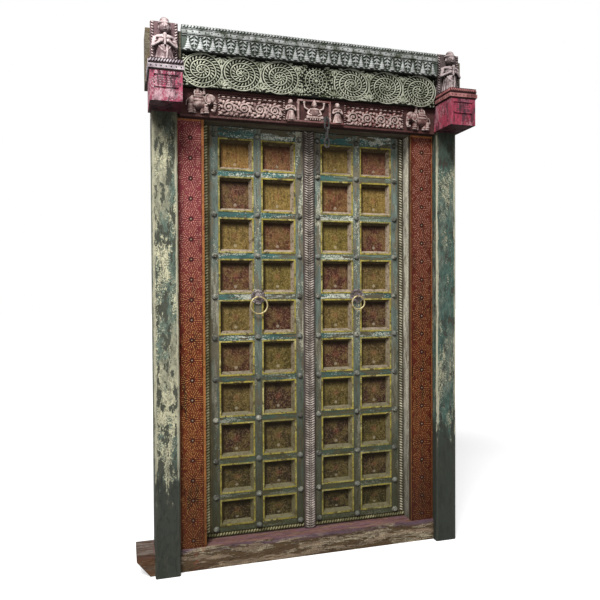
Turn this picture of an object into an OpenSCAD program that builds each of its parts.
/* [Opening] */
// Clear width between the two jambs
opening_w = 1006; // [950:1:1060]
// Clear height from the sill to the underside of the lintel
opening_h = 1895; // [1750:1:2000]
// Height of the sill
sill_h = 100; // [85:1:130]
// Depth of the sill from front to back
sill_d = 146; // [140:1:200]
// How far the sill's nosing stands in front of the face boards
sill_proud = 6; // [3:1:12]
// Length of the sill that runs out past the left post
sill_horn = 78; // [40:1:110]
// Length of the sill that runs out past the right post
sill_stub = 14; // [6:1:40]
// Height of the sawn slope under the end of the long horn
sill_slope_h = 70; // [30:1:75]

/* [Frame] */
// Width of each outer post
post_w = 107; // [90:1:130]
// How far a post stands in front of the face boards
post_proud = 40; // [20:1:50]
// Width of each painted face board
board_w = 118; // [90:1:140]
// Thickness of each painted face board
board_t = 25; // [15:1:35]
// Depth from the front of the face boards to the back of the frame
frame_d = 97; // [90:1:110]
// Width of the bevel along a post's edges
post_bevel = 5; // [2:0.5:10]

/* [Head] */
// Height of the lintel
lintel_h = 135; // [120:1:160]
// How far the carved head boards' backing plane stands in front of the face boards
head_proud = 38; // [25:1:40]
// Height of the beam over the lintel
head_beam_h = 226; // [200:1:260]
// Length of the head beam that runs out past each post
head_horn = 24; // [10:1:40]
// Height of the plain fillet under the lintel carving
lintel_fillet = 13; // [8:1:20]
// Width of each elephant's field on the lintel board
elephant_w = 165; // [140:1:180]
// Distance from the door's middle to the niche's middle, which lies to the left
niche_shift = 6; // [0:1:12]
// Width of the niche, from pillar to pillar
niche_w = 152; // [140:1:164]
// Width of a pillar beside the niche
niche_pillar_w = 9; // [6:0.5:12]
// Width of the ledge under the figures
ledge_w = 272; // [260:1:290]
// Height of the carved frieze board
frieze_h = 146; // [130:1:160]
// Thickness of the frieze board
frieze_t = 22; // [15:1:30]
// How far the frieze board hangs over the lintel
frieze_lap = 14; // [8:1:20]
// Height of the cornice board
cornice_h = 108; // [95:1:125]
// Thickness of the cornice board
cornice_t = 45; // [35:1:60]
// Gap between the carved boards and the capitals beside them
head_gap = 1; // [0.5:0.5:3]

/* [Capitals] */
// Width of each capital block
capital_w = 130; // [115:1:145]
// How far a capital block stands out past its post
capital_over = 14; // [6:1:20]
// How far a capital block reaches in front of the face boards
capital_reach = 190; // [150:1:220]
// How far the underside of a capital stands above the underside of the lintel
capital_lift = 13; // [6:1:20]
// Height of the moulded cap on a capital
cap_h = 48; // [40:1:60]
// How far the cap stands out past the capital block
cap_over = 7; // [3:0.5:10]
// Width of the plate behind each standing figure
figure_w = 114; // [100:1:122]
// Height of that plate
figure_h = 202; // [180:1:225]
// Thickness of that plate
figure_plate_t = 20; // [14:1:26]

/* [Leaves] */
// Gap round the leaves at the jambs, the sill and the lintel
leaf_gap = 3; // [2:0.5:5]
// Distance of the meeting line to the right of the door's middle
meet_x = 30.5; // [29:0.5:33]
// Gap between the sill and the foot of the planks
plank_gap = 5; // [4:0.5:8]
// Gap between the two leaves
meet_gap = 5; // [4.5:0.5:8]
// Thickness of the lattice of stiles and rails
lattice_t = 25; // [20:1:32]
// Thickness of the planks behind the lattice
plank_t = 28; // [24:1:34]
// Gap between a plank and the back of the jamb
jamb_gap = 1; // [0.5:0.5:2]
// How far a leaf reaches behind its jamb to its turning axis
leaf_lap = 25; // [20:1:35]
// Height of the planks above the underside of the lintel
plank_rise = 35; // [25:1:50]
// Width of the hanging and middle stiles
stile_w = 36; // [30:1:45]
// Width of the left leaf's meeting stile
left_meeting_w = 38; // [34:1:44]
// Width of the right leaf's meeting stile
right_meeting_w = 30; // [28:1:40]
// Clearance all round a coffer frame
coffer_fit = 0.1; // [0.05:0.05:0.3]
// Height of a rail
rail_h = 26; // [20:1:32]
// Height of the plain band above the top rails
top_band_h = 25; // [15:1:40]
// Height of the bottom row of coffers, from rail to rail
bottom_row_h = 148; // [120:1:180]
// Height of the second row of coffers
second_row_h = 166; // [140:1:190]
// Height of the top row of coffers
top_row_h = 174; // [140:1:190]
// Number of equal rows of coffers between them
regular_rows = 7; // [6:1:8]
// Width of the flat band round a coffer
coffer_band = 7; // [4:0.5:10]
// Width of the splay inside that band
coffer_splay = 12; // [6:0.5:18]
// How far the coffer frames stand in front of the lattice
coffer_proud = 2; // [1:0.5:4]

/* [Mouldings] */
// Width of the rope moulding along a leaf's hanging side
rope_w = 33.5; // [28:0.5:38]
// Height of the rope moulding along a leaf's foot
foot_rope_h = 25; // [18:1:30]
// Length of one strand along a rope moulding
rope_pitch = 13; // [10:0.5:18]
// Height of a rope's strands over their strip
rope_relief = 5; // [3:0.5:7]
// Width of the carved strip that covers the meeting line
astragal_w = 53; // [50:1:56]
// How far that strip stands in front of the lattice
astragal_proud = 12; // [6:1:15]

/* [Ironwork] */
// Diameter of a stud's head
stud_d = 28; // [22:1:29]
// Height of a stud's head
stud_h = 12; // [8:1:14]
// Diameter of a stud's shank
stud_shank_d = 6; // [4:0.5:8]
// Clearance round a stud's shank in its stile
shank_gap = 0.2; // [0.1:0.1:0.5]
// Diameter of a wooden pintle
pintle_d = 22; // [18:1:24]
// Length of a pintle past its plank
pintle_l = 42; // [30:1:50]
// Clearance round a pintle in its socket
pintle_gap = 0.6; // [0.4:0.1:1]
// Clearance under the lower pintle
pintle_foot_gap = 0.3; // [0.1:0.1:0.5]
// Height of the rail that holds the upper pintles
pivot_rail_h = 60; // [50:1:80]
// Thickness of each batten on the back of a leaf
batten_t = 22; // [16:1:30]
// Height of each batten
batten_h = 90; // [60:1:120]
// Outer diameter of the left leaf's ring pull
left_ring_d = 87; // [70:1:100]
// Outer diameter of the right leaf's ring pull
right_ring_d = 72; // [60:1:100]
// Thickness of a ring pull's bar
ring_bar = 8; // [6:0.5:10]
// Diameter of the boss behind a ring pull
boss_d = 68; // [60:1:80]
// Thickness of that boss's rim
boss_t = 5; // [4:0.5:8]
// Distance from a boss's back to the axis of its ring
ring_set = 22; // [20:0.5:26]
// Clearance round a bar in its eye
eye_gap = 1; // [0.6:0.1:1.5]
// Thickness of the bar of an eye
eye_bar = 5; // [4:0.5:6]
// Distance of the chain's staple to the right of the door's middle
chain_x = 46; // [42:1:50]
// How far the chain's eye stands in front of the lintel board
staple_reach = 34; // [31:1:45]
// Height of the chain's eye above the underside of the lintel
staple_lift = 30; // [29:1:40]
// Radius of the staple's round plate
staple_plate_r = 13; // [9:0.5:13]
// Thickness of a chain link's bar
link_bar = 6; // [5:0.5:8]
// Length of the chain's upper link
upper_link_l = 58; // [48:1:70]
// Length of the chain's middle link
middle_link_l = 63; // [48:1:80]
// Length of the chain's lower link
lower_link_l = 46; // [40:1:60]
// Width of a chain link
link_w = 26; // [24:1:34]
// Clearance between linked bars as they swing
link_gap = 0.3; // [0.3:0.1:0.8]
// Length of the tapering hasp on the right leaf
hasp_l = 112; // [80:1:130]
// Thickness of the hasp
hasp_t = 5; // [3:0.5:8]

/* [Hidden] */
$fn = 48;
// Depth by which carving is let into its board, so that the two are one piece of wood
sink = 0.5;
// Margin by which a cutting shape passes the faces that it cuts
past = 1;

// Carvings on the lintel board are drawn for a board 135 high
carving_unit = lintel_h / 135;

// Levels
lintel_z = sill_h + opening_h;
head_z = lintel_z + lintel_h;
frieze_z = head_z - frieze_lap;
cornice_z = frieze_z + frieze_h;
capital_z = lintel_z + capital_lift;
cap_z = head_z;
figure_z = cap_z + cap_h;

// Widths from the door's middle
jamb_x = opening_w / 2;
post_x = jamb_x + board_w;
outer_x = post_x + post_w;
capital_x = outer_x + capital_over - capital_w;
carved_x = capital_x - cap_over - head_gap;
figure_x = (post_x + outer_x) / 2;

// Leaves
plank_y = frame_d + jamb_gap;
lattice_set = plank_y - lattice_t;
plank_back = plank_y + plank_t;
boss_y = lattice_set - coffer_proud;
pivot_x = jamb_x + leaf_lap;
pivot_y = plank_y + plank_t / 2;
lattice_x = jamb_x - leaf_gap;
lattice_z = sill_h + leaf_gap;
stile_z = lattice_z + foot_rope_h;
lattice_top = lintel_z - leaf_gap;
plank_z = sill_h + plank_gap;
plank_top = lintel_z + plank_rise;
coffer_d = lattice_t + coffer_proud;
first_rail_z = stile_z + rail_h / 2;
top_rail_z = lattice_top - top_band_h - rail_h / 2;
row_h = (top_rail_z - first_rail_z - bottom_row_h - second_row_h - top_row_h) / regular_rows;
row_heights = concat([bottom_row_h, second_row_h], [for (i = [1 : regular_rows]) row_h], [top_row_h]);
rows = len(row_heights);
ring_row = 6;

// The chain hangs plumb from the eye on the lintel
chain_y = -head_proud - staple_reach;
chain_z = lintel_z + staple_lift;
link_steps = 10;
link_hole_r = link_w / 2 - link_bar;
// The corners of one link's bar, where it rises beside the other link, turn inside the other's bend
link_rise = link_hole_r - sqrt(pow(link_hole_r, 2) - pow(link_bar / 2, 2));
link_corner = norm([link_bar / 2, link_bar / 2 + link_rise]);
link_flat = link_hole_r * (1 - cos(90 / link_steps));
link_set = link_bar / 2 + link_corner + link_flat + link_gap;
upper_foot_z = chain_z - upper_link_l + link_bar;
middle_head_z = upper_foot_z + link_set;
middle_foot_z = middle_head_z - middle_link_l + link_bar;
lower_head_z = middle_foot_z + link_set;

function sum_to(list, n) = n <= 0 ? 0 : list[n - 1] + sum_to(list, n - 1);
function rail_z(i) = first_rail_z + sum_to(row_heights, i);

// A leaf is drawn on the right-hand side, and the left one is its mirror image with side = -1
function leaf_edge(side) = side * meet_x + meet_gap / 2;
function lattice_edge(side) = side > 0 ? leaf_edge(side) : leaf_edge(side) + astragal_w;
function meeting_w(side) = side > 0 ? right_meeting_w : left_meeting_w;
function panel_w(side) =
    (lattice_x - rope_w - 2 * stile_w - meeting_w(side) - lattice_edge(side)) / 2;
function hanging_stile_x() = lattice_x - rope_w - stile_w;
function middle_stile_x(side) = hanging_stile_x() - panel_w(side) - stile_w;
function stud_columns(side) = [
    lattice_edge(side) + meeting_w(side) / 2,
    middle_stile_x(side) + stile_w / 2,
    hanging_stile_x() + stile_w / 2
];

// Outlines
function mirrored(half) =
    concat(half, [for (i = [len(half) - 1 : -1 : 0]) [-half[i][0], half[i][1]]]);
function leaf_outline(l, w, steps) = concat(
    [for (i = [0 : steps]) [w / 2 * sin(180 * i / steps) * (1 - 0.3 * i / steps), l * i / steps]],
    [for (i = [steps - 1 : -1 : 1]) [-w / 2 * sin(180 * i / steps) * (1 - 0.3 * i / steps), l * i / steps]]
);
function arc_band(r, w, from, to, steps) = concat(
    [for (i = [0 : steps]) let (a = from + (to - from) * i / steps) [r * cos(a), r * sin(a)]],
    [for (i = [steps : -1 : 0]) let (a = from + (to - from) * i / steps) [(r - w) * cos(a), (r - w) * sin(a)]]
);
function stadium(w, l, steps) = concat(
    [for (i = [0 : steps]) [w / 2 * cos(180 * i / steps), l / 2 - w / 2 + w / 2 * sin(180 * i / steps)]],
    [for (i = [0 : steps]) [-w / 2 * cos(180 * i / steps), w / 2 - l / 2 - w / 2 * sin(180 * i / steps)]]
);
// Slanted strands that rise from a thin spine, as one outline
function rope_outline(l, w, pitch, spine, rise) = concat(
    [[0, 0], [spine, 0]],
    [for (i = [0 : floor((l - rise) / pitch) - 1]) each [
        [spine, pitch * (i + 0.15)],
        [w, pitch * (i + 0.15) + rise],
        [w, pitch * (i + 0.85) + rise],
        [spine, pitch * (i + 0.85)]
    ]],
    [[spine, l], [0, l]]
);

// Helpers
module block(from, to) {
    translate(from) cube(to - from);
}

module on_side(side) {
    if (side < 0) mirror([1, 0, 0]) children();
    else children();
}

// Raises an outline drawn in X and Z from a face at depth y towards the front
module relief(y, height) {
    translate([0, y + sink, 0]) rotate([90, 0, 0]) linear_extrude(height + sink) children();
}

// Stands a turned shape on a face at depth y, so that its axis points to the front
module turned_on(x, y, z) {
    translate([x, y + sink, z]) rotate([90, 0, 0]) children();
}

module dome(r, h) {
    ball_r = (r * r + h * h) / (2 * h);
    rotate_extrude() intersection() {
        translate([0, h - ball_r]) circle(ball_r);
        square([r, h]);
    }
}

module rod(from, to, r) {
    v = to - from;
    l = norm(v);
    translate(from) rotate([0, acos(v[2] / l), atan2(v[1], v[0])]) cylinder(h = l, r = r);
}

module torus(ring_r, bar_r) {
    rotate_extrude() translate([ring_r, 0]) circle(bar_r);
}

// Frame
module sill() {
    slope_l = sill_horn * 0.75;
    color("#8d7f6c") difference() {
        block([-outer_x - sill_horn, -sill_proud, 0], [outer_x + sill_stub, sill_d, sill_h]);
        translate([0, sill_d + past, 0]) rotate([90, 0, 0])
            linear_extrude(sill_d + sill_proud + 2 * past) polygon([
                [-outer_x - sill_horn - past, -past],
                [-outer_x - sill_horn + slope_l, -past],
                [-outer_x - sill_horn, sill_slope_h],
                [-outer_x - sill_horn - past, sill_slope_h]
            ]);
        for (side = [-1, 1])
            translate([side * pivot_x, pivot_y, plank_z - pintle_l - pintle_foot_gap])
                cylinder(d = pintle_d + 2 * pintle_gap, h = pintle_l + past);
    }
}

module post(side) {
    color("#6f8277") on_side(side) difference() {
        linear_extrude(capital_z) polygon([
            [post_x + post_bevel, -post_proud],
            [outer_x - post_bevel, -post_proud],
            [outer_x, post_bevel - post_proud],
            [outer_x, frame_d],
            [post_x, frame_d],
            [post_x, post_bevel - post_proud]
        ]);
        // The foot is cut away over the sill, and the head behind the capital for the lintel
        block([post_x - past, -sill_proud, -past], [outer_x + past, frame_d + past, sill_h]);
        block([post_x - past, 0, lintel_z], [outer_x + past, frame_d + past, capital_z + past]);
    }
}

module left_post() { post(-1); }
module right_post() { post(1); }

module jamb(side) {
    color("#77766b") on_side(side)
        block([jamb_x, board_t, sill_h], [post_x, frame_d, lintel_z]);
}

module left_jamb() { jamb(-1); }
module right_jamb() { jamb(1); }

module face_board(side) {
    color("#8e3a2c") on_side(side)
        block([jamb_x, 0, sill_h], [post_x, board_t, lintel_z]);
}

module left_face_board() { face_board(-1); }
module right_face_board() { face_board(1); }

module lintel() {
    color("#5d554b") block([-outer_x, 0, lintel_z], [outer_x, frame_d, head_z]);
}

module head_beam() {
    color("#6b665a") block(
        [-outer_x - head_horn, -head_proud, head_z],
        [outer_x + head_horn, frame_d, head_z + head_beam_h]
    );
}

module pivot_rail() {
    rail_z0 = plank_top + leaf_gap;
    color("#6b665a") difference() {
        block([-post_x, frame_d, rail_z0], [post_x, sill_d, rail_z0 + pivot_rail_h]);
        for (side = [-1, 1])
            translate([side * pivot_x, pivot_y, rail_z0 - past])
                cylinder(d = pintle_d + 2 * pintle_gap, h = pintle_l + past);
    }
}

// Lintel carving
module fan(x, z, size, spread, count) {
    for (i = [0 : count - 1])
        translate([x, z]) rotate(spread * (2 * i / (count - 1) - 1))
            polygon(leaf_outline(size, size * 0.34, 6));
}

module foliage(from_x, to_x, bottom_z, top_z) {
    bar = 4 * carving_unit;
    edge_w = 13 * carving_unit;
    height = top_z - bottom_z;
    inner = to_x - from_x - 2 * edge_w;
    fans = 4;
    step = inner / fans;
    relief(-head_proud, 7) {
        translate([from_x, bottom_z]) polygon(rope_outline(height, edge_w - 2, 11, 2.5, 8));
        translate([to_x, bottom_z]) mirror([1, 0]) polygon(rope_outline(height, edge_w - 2, 11, 2.5, 8));
    }
    relief(-head_proud, 6) translate([from_x + edge_w, top_z - bar]) square([inner, bar]);
    for (i = [0 : fans - 1]) {
        middle = from_x + edge_w + step * (i + 0.5);
        relief(-head_proud, 8) fan(middle, bottom_z + 3, height * 0.72, 62, 5);
        for (s = [-1, 1])
            turned_on(middle + s * step * 0.36, -head_proud, bottom_z + height * 0.62)
                torus(height * 0.09, 3.2);
    }
}

module elephant(side, edge) {
    body_x = edge - elephant_w * 0.53;
    on_side(side) translate([body_x, -head_proud, lintel_z + lintel_fillet]) scale(carving_unit) {
        for (x = [-33, -14, 5, 23]) relief(0, 9) translate([x, 0]) square([12, 32]);
        translate([0, 6, 44]) sphere(31);
        translate([-46, -6, 55]) sphere(20);
        relief(0, 13) translate([-44, 33]) polygon(arc_band(24, 11, 150, 265, 8));
        relief(0, 25) translate([-27, 50]) polygon(leaf_outline(22, 17, 6));
        // The rider
        translate([4, -8, 59]) {
            cylinder(r1 = 12, r2 = 9, h = 26);
            translate([0, 0, 30]) sphere(8);
        }
    }
}

module attendant(x) {
    translate([x, -head_proud, lintel_z + lintel_fillet]) scale(carving_unit) translate([0, -9, 0]) {
        cylinder(r1 = 20, r2 = 11, h = 44);
        translate([0, 0, 40]) cylinder(r1 = 11, r2 = 14, h = 24);
        translate([0, 0, 60]) cylinder(r = 5, h = 10);
        translate([0, -1, 75]) sphere(10);
        for (s = [-1, 1]) {
            rod([s * 12, 0, 60], [s * 18, -5, 42], 4.2);
            rod([s * 18, -5, 42], [s * 5, -13, 48], 3.6);
        }
    }
}

module seated_figure(x) {
    translate([x, -head_proud, lintel_z + lintel_fillet]) scale(carving_unit) translate([0, -9, 12]) {
        rod([-30, 0, 9], [30, 0, 9], 9);
        for (s = [-1, 1]) rod([s * 28, 0, 9.5], [s * -4, -9, 8], 6.5);
        translate([0, 0, 8]) cylinder(r1 = 19, r2 = 15, h = 36);
        translate([0, 0, 40]) cylinder(r = 5.5, h = 10);
        translate([0, -1, 58]) sphere(11.5);
        translate([0, 0, 64]) cylinder(r1 = 9, r2 = 3, h = 14);
        for (s = [-1, 1]) {
            rod([s * 15, 0, 40], [s * 25, -4, 22], 4.6);
            rod([s * 25, -4, 22], [s * 10, -14, 18], 4);
        }
    }
}

module lintel_board() {
    edge = capital_x - head_gap;
    niche_x = -niche_shift;
    carved_h = lintel_h - frieze_lap - lintel_fillet - 8 * carving_unit;
    ledge_out = 26 * carving_unit;
    niche_out = 16 * carving_unit;
    ledge_z = lintel_z + lintel_fillet / 2;
    z = lintel_z + lintel_fillet;
    color("#8c6a6c") {
        block([-edge, -head_proud, lintel_z], [edge, 0, head_z]);
        for (side = [-1, 1]) {
            on_side(side) foliage(ledge_w / 2 + 4, edge - elephant_w, z, z + carved_h * 0.94);
            elephant(side, edge);
            attendant(niche_x + side * ((niche_w + ledge_w) / 4 + niche_shift));
        }
        seated_figure(niche_x);
        // The niche's ledge, pillars and head
        block([-ledge_w / 2, -head_proud - ledge_out, ledge_z], [ledge_w / 2, -head_proud + sink, z + 2]);
        for (s = [-1, 1])
            relief(-head_proud, niche_out) translate([niche_x + (s * niche_w - niche_pillar_w) / 2, z])
                square([niche_pillar_w, carved_h - 4]);
        relief(-head_proud, niche_out)
            translate([niche_x - (niche_w + niche_pillar_w) / 2, z + carved_h - niche_pillar_w])
                square([niche_w + niche_pillar_w, niche_pillar_w]);
    }
}

// Frieze carving
function coil_r(a, r0, r1, turns) = r0 + (r1 - r0) * a / (360 * turns);
function coil_outline(r0, r1, turns, ridge, step) =
    let (
        full = 360 * turns,
        spacing = (r1 - r0) / turns,
        count = full / step,
        at = function (r, a) [r * cos(a), r * sin(a)]
    ) concat(
        [for (i = [0 : count]) at(coil_r(i * step, r0, r1, turns), i * step)],
        [for (i = [count - 1 : -1 : 0]) let (
            a = i * step,
            inner = coil_r(a, r0, r1, turns) - ridge,
            tip = coil_r(a, r0, r1, turns) - spacing + 1.4
        ) each a < 360 ? [at(inner, a)] : [
            at(inner + spacing * step * 0.6 / 360, a + step * 0.6),
            at(tip, a + step * 0.42 - 13),
            at(tip, a + step * 0.12 - 13),
            at(inner, a)
        ]]
    );

module coil(x, z, r) {
    relief(-head_proud - frieze_t, 6) translate([x, z]) rotate(200)
        polygon(coil_outline(9, r, 3, 4.6, 18));
    turned_on(x, -head_proud - frieze_t, z) dome(5, 6);
}

module rosette(x, z, r) {
    face = -head_proud - frieze_t;
    petals = 16;
    for (band = [[r, 4], [r * 0.62, 3.4]])
        turned_on(x, face, z) rotate_extrude() translate([band[0] - band[1], 0]) square([band[1], 6.5]);
    relief(face, 4.5) translate([x, z]) for (i = [0 : petals - 1])
        rotate(360 / petals * i) translate([0, r * 0.64]) polygon(leaf_outline(r * 0.28, r * 0.16, 5));
    relief(face, 4.5) translate([x, z]) for (i = [0 : petals / 2 - 1])
        rotate(720 / petals * i) translate([0, r * 0.24]) polygon(leaf_outline(r * 0.3, r * 0.17, 5));
    turned_on(x, face, z) dome(r * 0.22, 7);
}

module frieze_board() {
    coil_pitch = carved_x / 3.5;
    coil_outer = frieze_h / 2 - 3;
    z = frieze_z + frieze_h / 2;
    face = -head_proud - frieze_t;
    leaf_l = 31;
    color("#8f9a80") {
        block([-carved_x, face, frieze_z], [carved_x, -head_proud, cornice_z]);
        for (side = [-1, 1]) on_side(side) for (i = [1 : 3]) coil(i * coil_pitch, z, coil_outer);
        rosette(0, z, 52);
        for (side = [-1, 1]) for (i = [0 : 2]) for (up = [0, 1])
            relief(face, 5) translate([side * coil_pitch * (i + 0.5), z]) mirror([0, up])
                fan(0, -frieze_h / 2 + 4, leaf_l, 48, 3);
    }
}

// Cornice carving
function finial_outline() =
    mirrored([[13, 0], [13, 5], [9, 8], [6.5, 17], [4.2, 30], [8, 34], [3, 39], [0.4, 54]]);
function frond_outline(count, step) = mirrored(concat(
    [[0.6, 2]],
    [for (i = [0 : count - 1]) each [
        [2, 6 + step * i], [11 - i, 11 + step * i], [10 - i, 15 + step * i], [2, 12 + step * i]
    ]],
    [[0.6, 10 + step * count]]
));

module cornice_board() {
    pitch = 54;
    count = floor((carved_x - 16) / pitch);
    face = -head_proud - cornice_t;
    top = cornice_z + cornice_h;
    rope_h = 16;
    dots = 2.4;
    dot_z = top - rope_h - 13;
    color("#7f8c7c") {
        difference() {
            block([-carved_x, face, cornice_z], [carved_x, -head_proud, top]);
            for (s = [-1, 1]) for (i = [0 : 2 * count])
                translate([s * (i + 0.5) * pitch / 2, face + 3, dot_z]) rotate([90, 0, 0])
                    cylinder(r = dots, h = 3 + past);
            for (z = [dot_z - 9, top - rope_h - 4])
                block([-carved_x - past, face - past, z], [carved_x + past, face + 4, z + 3]);
        }
        for (i = [-count : count])
            relief(face, 5) translate([i * pitch, cornice_z + 3]) polygon(finial_outline());
        for (i = [-count : count - 1])
            relief(face, 4) translate([(i + 0.5) * pitch, cornice_z + 5]) polygon(frond_outline(4, 11));
        relief(face, 4) translate([-carved_x, top]) rotate(-90)
            polygon(rope_outline(2 * carved_x, rope_h - 2, 14, 3, 9));
    }
}

// Capitals
module capital(side) {
    inset = 5;
    border = 16;
    rib = 10;
    field_h = (head_z - capital_z - 2 * border - rib) / 2;
    color("#9a3d4c") on_side(side) difference() {
        block([capital_x, -capital_reach, capital_z], [capital_x + capital_w, 0, head_z]);
        // The two sunk fields of the front
        for (z = [capital_z + border, capital_z + border + field_h + rib])
            block(
                [capital_x + border, -capital_reach - past, z],
                [capital_x + capital_w - border, -capital_reach + inset, z + field_h]
            );
    }
}

module left_capital() { capital(-1); }
module right_capital() { capital(1); }

module capital_cap(side) {
    groove = 5;
    band_h = 18;
    rope_h = cap_h - band_h - 2 * groove;
    x0 = capital_x - cap_over;
    x1 = capital_x + capital_w + cap_over;
    front = -capital_reach - cap_over;
    strand = 4;
    side_l = -front - strand - head_proud;
    color("#a8606a") on_side(side) {
        block([x0 + strand, front + strand, cap_z], [x1 - strand, -head_proud, figure_z]);
        block([x0, front, cap_z + groove], [x1, -head_proud, cap_z + groove + band_h]);
        relief(front + strand, strand) translate([x0 + strand, figure_z]) rotate(-90)
            polygon(rope_outline(x1 - x0 - 2 * strand, rope_h, 11, 3, 8));
        for (x = [x0 + strand + sink, x1])
            translate([x, -head_proud, figure_z]) rotate([0, -90, 0]) linear_extrude(strand + sink)
                rotate(180) polygon(rope_outline(side_l, rope_h, 11, 3, 8));
    }
}

module left_capital_cap() { capital_cap(-1); }
module right_capital_cap() { capital_cap(1); }

module figure(side) {
    half = figure_w / 2;
    face = -head_proud - figure_plate_t;
    size = figure_h / 202;
    y = face - 16 * size;
    rope = 14;
    color("#a58a86") on_side(side) translate([figure_x, 0, figure_z]) {
        block([-half, face, 0], [half, -head_proud, figure_h]);
        relief(face, 4) {
            translate([-half, 0]) polygon(rope_outline(figure_h, rope, 12, 3, 9));
            translate([half, 0]) mirror([1, 0]) polygon(rope_outline(figure_h, rope, 12, 3, 9));
        }
        block([-half, y - 40 * size, 0], [half, face + sink, 8]);
        translate([0, y, 7]) scale(size) {
            cylinder(r1 = 34, r2 = 25, h = 82);
            translate([0, 0, 80]) cylinder(r1 = 23, r2 = 31, h = 46);
            translate([0, 0, 124]) cylinder(r1 = 30, r2 = 12, h = 12);
            translate([0, 0, 130]) cylinder(r = 10, h = 18);
            translate([0, -3, 165]) sphere(23);
            translate([0, 2, 168]) cylinder(r1 = 21, r2 = 13, h = 36);
            for (s = [-1, 1]) {
                rod([s * 31, 0, 119], [s * 38, -6, 82], 9);
                translate([s * 38, -6, 82]) sphere(9.6);
                rod([s * 38, -6, 82], [s * 12, -30, 92], 7.6);
                translate([s * 31, 0, 119]) sphere(11);
                translate([s * 14, -30, 0]) cylinder(r = 9, h = 9);
            }
            translate([0, -31, 93]) sphere(11);
        }
    }
}

module left_figure() { figure(-1); }
module right_figure() { figure(1); }

// Leaves
module hanging_plank(side) {
    inner = hanging_stile_x() - stile_w;
    color("#6a5a45") on_side(side) {
        block([inner, plank_y, plank_z], [pivot_x, plank_back, plank_top]);
        translate([pivot_x, pivot_y, plank_z]) cylinder(d = plank_t - 1, h = plank_top - plank_z);
        translate([pivot_x, pivot_y, plank_z - pintle_l])
            cylinder(d = pintle_d, h = plank_top - plank_z + 2 * pintle_l - leaf_gap);
    }
}

module left_hanging_plank() { hanging_plank(-1); }
module right_hanging_plank() { hanging_plank(1); }

module planks(side) {
    outer = hanging_stile_x() - stile_w;
    inner = leaf_edge(side);
    seam = 0.3;
    middle = (outer + inner) / 2;
    color("#6a5a45") on_side(side) {
        block([inner, plank_y, plank_z], [middle - seam, plank_back, plank_top]);
        block([middle, plank_y, plank_z], [outer - seam, plank_back, plank_top]);
    }
}

module left_planks() { planks(-1); }
module right_planks() { planks(1); }

module stile(side, x, w) {
    color("#4f6a5e") on_side(side) difference() {
        block([x, lattice_set, stile_z], [x + w, plank_y, lattice_top]);
        for (i = [0 : rows])
            translate([x + w / 2, plank_y + past, rail_z(i)]) rotate([90, 0, 0])
                cylinder(d = stud_shank_d + 2 * shank_gap, h = plank_y - lattice_set + 2 * past);
    }
}

module left_hanging_stile() { stile(-1, hanging_stile_x(), stile_w); }
module right_hanging_stile() { stile(1, hanging_stile_x(), stile_w); }
module left_middle_stile() { stile(-1, middle_stile_x(-1), stile_w); }
module right_middle_stile() { stile(1, middle_stile_x(1), stile_w); }
module left_meeting_stile() { stile(-1, lattice_edge(-1), left_meeting_w); }
module right_meeting_stile() { stile(1, lattice_edge(1), right_meeting_w); }

function panel_starts(side) = [lattice_edge(side) + meeting_w(side), middle_stile_x(side) + stile_w];

module rails(side) {
    color("#57705f") on_side(side)
        for (x = panel_starts(side)) for (i = [0 : rows])
            block(
                [x, lattice_set, rail_z(i) - rail_h / 2],
                [x + panel_w(side), plank_y, rail_z(i) + rail_h / 2 + (i == rows ? top_band_h : 0)]
            );
}

module left_rails() { rails(-1); }
module right_rails() { rails(1); }

// The hollow of a coffer, as the part common to two splayed prisms
module coffer_hollow(w, h) {
    slope = coffer_splay / coffer_d;
    intersection() {
        linear_extrude(h * 2, center = true) polygon([
            [-w / 2 - slope * past, -coffer_d - past], [w / 2 + slope * past, -coffer_d - past],
            [w / 2 - coffer_splay - slope * past, past], [-w / 2 + coffer_splay + slope * past, past]
        ]);
        rotate([0, -90, 0]) linear_extrude(w * 2, center = true) polygon([
            [-h / 2 - slope * past, -coffer_d - past], [h / 2 + slope * past, -coffer_d - past],
            [h / 2 - coffer_splay - slope * past, past], [-h / 2 + coffer_splay + slope * past, past]
        ]);
    }
}

module coffer_frame(w, h) {
    difference() {
        block([-w / 2, -coffer_d, -h / 2], [w / 2, 0, h / 2]);
        coffer_hollow(w - 2 * coffer_band, h - 2 * coffer_band);
    }
}

module coffer_frames(side) {
    w = panel_w(side);
    color("#a8923f") on_side(side)
        for (x = panel_starts(side)) for (i = [0 : rows - 1])
            translate([x + w / 2, plank_y, (rail_z(i) + rail_z(i + 1)) / 2])
                coffer_frame(w - 2 * coffer_fit, row_heights[i] - rail_h - 2 * coffer_fit);
}

module left_coffer_frames() { coffer_frames(-1); }
module right_coffer_frames() { coffer_frames(1); }

module shank() {
    shank_l = lattice_t - 3;
    translate([0, 0, -shank_l]) cylinder(d = stud_shank_d, h = shank_l + past);
}

module stud() {
    rotate([90, 0, 0]) {
        dome(stud_d / 2, stud_h);
        shank();
    }
}

module studs(side) {
    columns = stud_columns(side);
    color("#8b968c") on_side(side)
        for (c = [0 : len(columns) - 1]) for (i = [0 : rows])
            if (c != 1 || i != ring_row) translate([columns[c], lattice_set, rail_z(i)]) stud();
}

module left_studs() { studs(-1); }
module right_studs() { studs(1); }

module side_rope(side) {
    bead = 6;
    strand_w = rope_w - bead - 4;
    x = lattice_x - rope_w;
    l = lattice_top - stile_z;
    color("#8a8a70") on_side(side) {
        block([x, lattice_set + 4, stile_z], [lattice_x, plank_y, lattice_top]);
        block([x, lattice_set, stile_z], [x + bead, lattice_set + 5, lattice_top]);
        relief(lattice_set + 4, rope_relief) translate([x + bead + 3, stile_z])
            polygon(rope_outline(l, strand_w, rope_pitch, 3, 9));
    }
}

module left_side_rope() { side_rope(-1); }
module right_side_rope() { side_rope(1); }

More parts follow.
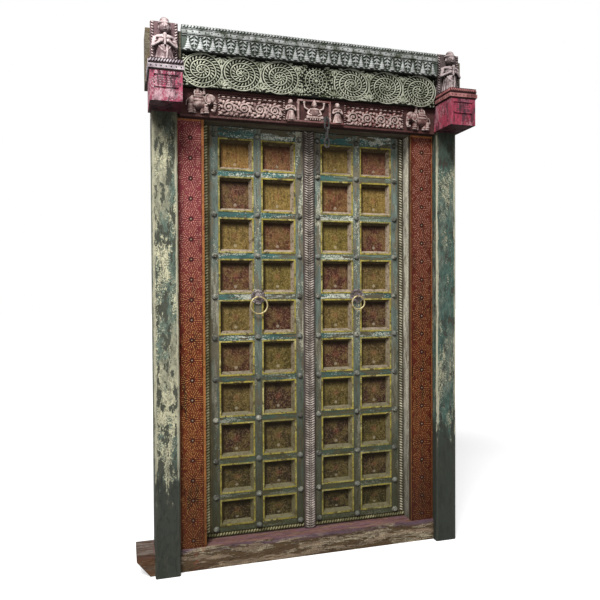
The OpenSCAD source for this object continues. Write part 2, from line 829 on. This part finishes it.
module foot_rope(side) {
    x = lattice_edge(side);
    color("#6f7a68") on_side(side) {
        block([x, lattice_set + 4, lattice_z], [lattice_x, plank_y, stile_z]);
        relief(lattice_set + 4, rope_relief) translate([x, stile_z - 3]) rotate(-90)
            polygon(rope_outline(lattice_x - x, foot_rope_h - 6, rope_pitch, 3, 9));
    }
}

module left_foot_rope() { foot_rope(-1); }
module right_foot_rope() { foot_rope(1); }

module battens(side) {
    end_gap = 30;
    drop = 180;
    color("#6a5a45") on_side(side)
        for (z = [plank_z + drop, (plank_z + plank_top) / 2, plank_top - drop])
            block(
                [leaf_edge(side) + end_gap, plank_back, z - batten_h / 2],
                [pivot_x - end_gap, plank_back + batten_t, z + batten_h / 2]
            );
}

module left_battens() { battens(-1); }
module right_battens() { battens(1); }

module astragal() {
    edge = 14;
    zigzag_w = astragal_w - 2 * edge - 4;
    x = meet_x - meet_gap / 2 - astragal_w;
    front = lattice_set - astragal_proud;
    l = lattice_top - lattice_z;
    count = floor(l / rope_pitch);
    color("#8a8085") {
        block([x, front, lattice_z], [x + astragal_w, plank_y, lattice_top]);
        relief(front, 4) {
            translate([x + 1, lattice_z]) polygon(rope_outline(l, edge, rope_pitch, 3, 8));
            translate([x + astragal_w - 1, lattice_z]) mirror([1, 0])
                polygon(rope_outline(l, edge, rope_pitch, 3, 8));
            translate([x + astragal_w / 2, lattice_z]) polygon(mirrored(
                [for (i = [0 : 2 * count]) [i % 2 == 0 ? 2 : zigzag_w / 2, i * rope_pitch / 2]]
            ));
        }
    }
}

// Ironwork
module ring_boss(side) {
    r = boss_d / 2;
    beads = 12;
    eye_r = ring_bar / 2 + eye_gap + eye_bar / 2;
    color("#a39a92") on_side(side) translate([stud_columns(side)[1], boss_y, rail_z(ring_row)]) {
        rotate([90, 0, 0]) {
            cylinder(r = r, h = boss_t);
            shank();
            dome(r * 0.55, ring_set - eye_r);
            for (i = [0 : beads - 1])
                rotate(360 / beads * i) translate([r * 0.78, 0, boss_t - sink]) dome(r * 0.15, 4);
        }
        translate([0, -ring_set, 0]) rotate([0, 90, 0]) torus(eye_r, eye_bar / 2);
    }
}

module left_ring_boss() { ring_boss(-1); }
module right_ring_boss() { ring_boss(1); }

module ring_pull(side, d) {
    r = (d - ring_bar) / 2;
    color("#b09a5a") on_side(side)
        translate([stud_columns(side)[1], boss_y - ring_set, rail_z(ring_row) - r])
            rotate([90, 0, 0]) torus(r, ring_bar / 2);
}

module left_ring() { ring_pull(-1, left_ring_d); }
module right_ring() { ring_pull(1, right_ring_d); }

module lintel_staple() {
    eye_r = link_bar / sqrt(2) + eye_gap + eye_bar / 2;
    plate_t = 4;
    color("#4a4743") translate([chain_x, 0, chain_z]) {
        translate([0, -head_proud, 0]) rotate([90, 0, 0]) {
            cylinder(r = staple_plate_r, h = plate_t);
            cylinder(d = eye_bar + 2, h = staple_reach - eye_r + eye_bar / 4);
        }
        translate([0, chain_y, 0]) rotate([0, 90, 0]) torus(eye_r, eye_bar / 2);
    }
}

module link(l) {
    outer = stadium(link_w, l, link_steps);
    inner = stadium(2 * link_hole_r, l - 2 * link_bar, link_steps);
    translate([0, link_bar / 2, link_bar / 2 - l / 2]) rotate([90, 0, 0]) linear_extrude(link_bar)
        polygon(concat(outer, inner), [[for (i = [0 : len(outer) - 1]) i],
                                       [for (i = [0 : len(inner) - 1]) len(outer) + i]]);
}

module chain_upper_link() {
    color("#4a4743") translate([chain_x, chain_y, chain_z]) link(upper_link_l);
}

module chain_middle_link() {
    color("#4a4743") translate([chain_x, chain_y, middle_head_z]) rotate([0, 0, 90]) link(middle_link_l);
}

module chain_lower_link() {
    color("#4a4743") translate([chain_x, chain_y, lower_head_z]) link(lower_link_l);
}

module chain_hasp() {
    x = stud_columns(1)[0];
    z = rail_z(rows - 1) + stud_d / 2 + 3;
    foot_w = 22;
    head_w = 13;
    color("#8f959b") {
        translate([0, lattice_set, 0]) rotate([90, 0, 0]) linear_extrude(hasp_t) polygon([
            [x - foot_w / 2, z], [x + foot_w / 2, z],
            [x + foot_w / 2, z + hasp_l * 0.55], [x + head_w / 2, z + hasp_l],
            [x - head_w / 2, z + hasp_l], [x - foot_w / 2, z + hasp_l * 0.55]
        ]);
        translate([x, lattice_set - hasp_t - head_w / 2, z + hasp_l - head_w]) rotate([0, 90, 0])
            torus(head_w / 2, eye_bar / 2);
    }
}

sill();
left_post();
right_post();
left_jamb();
right_jamb();
left_face_board();
right_face_board();
lintel();
lintel_board();
head_beam();
frieze_board();
cornice_board();
left_capital();
right_capital();
left_capital_cap();
right_capital_cap();
left_figure();
right_figure();
pivot_rail();
lintel_staple();
left_hanging_plank();
right_hanging_plank();
left_planks();
right_planks();
left_hanging_stile();
right_hanging_stile();
left_middle_stile();
right_middle_stile();
left_meeting_stile();
right_meeting_stile();
left_rails();
right_rails();
left_coffer_frames();
right_coffer_frames();
left_studs();
right_studs();
left_side_rope();
right_side_rope();
left_foot_rope();
right_foot_rope();
left_battens();
right_battens();
astragal();
left_ring_boss();
right_ring_boss();
left_ring();
right_ring();
chain_hasp();
chain_upper_link();
chain_middle_link();
chain_lower_link();
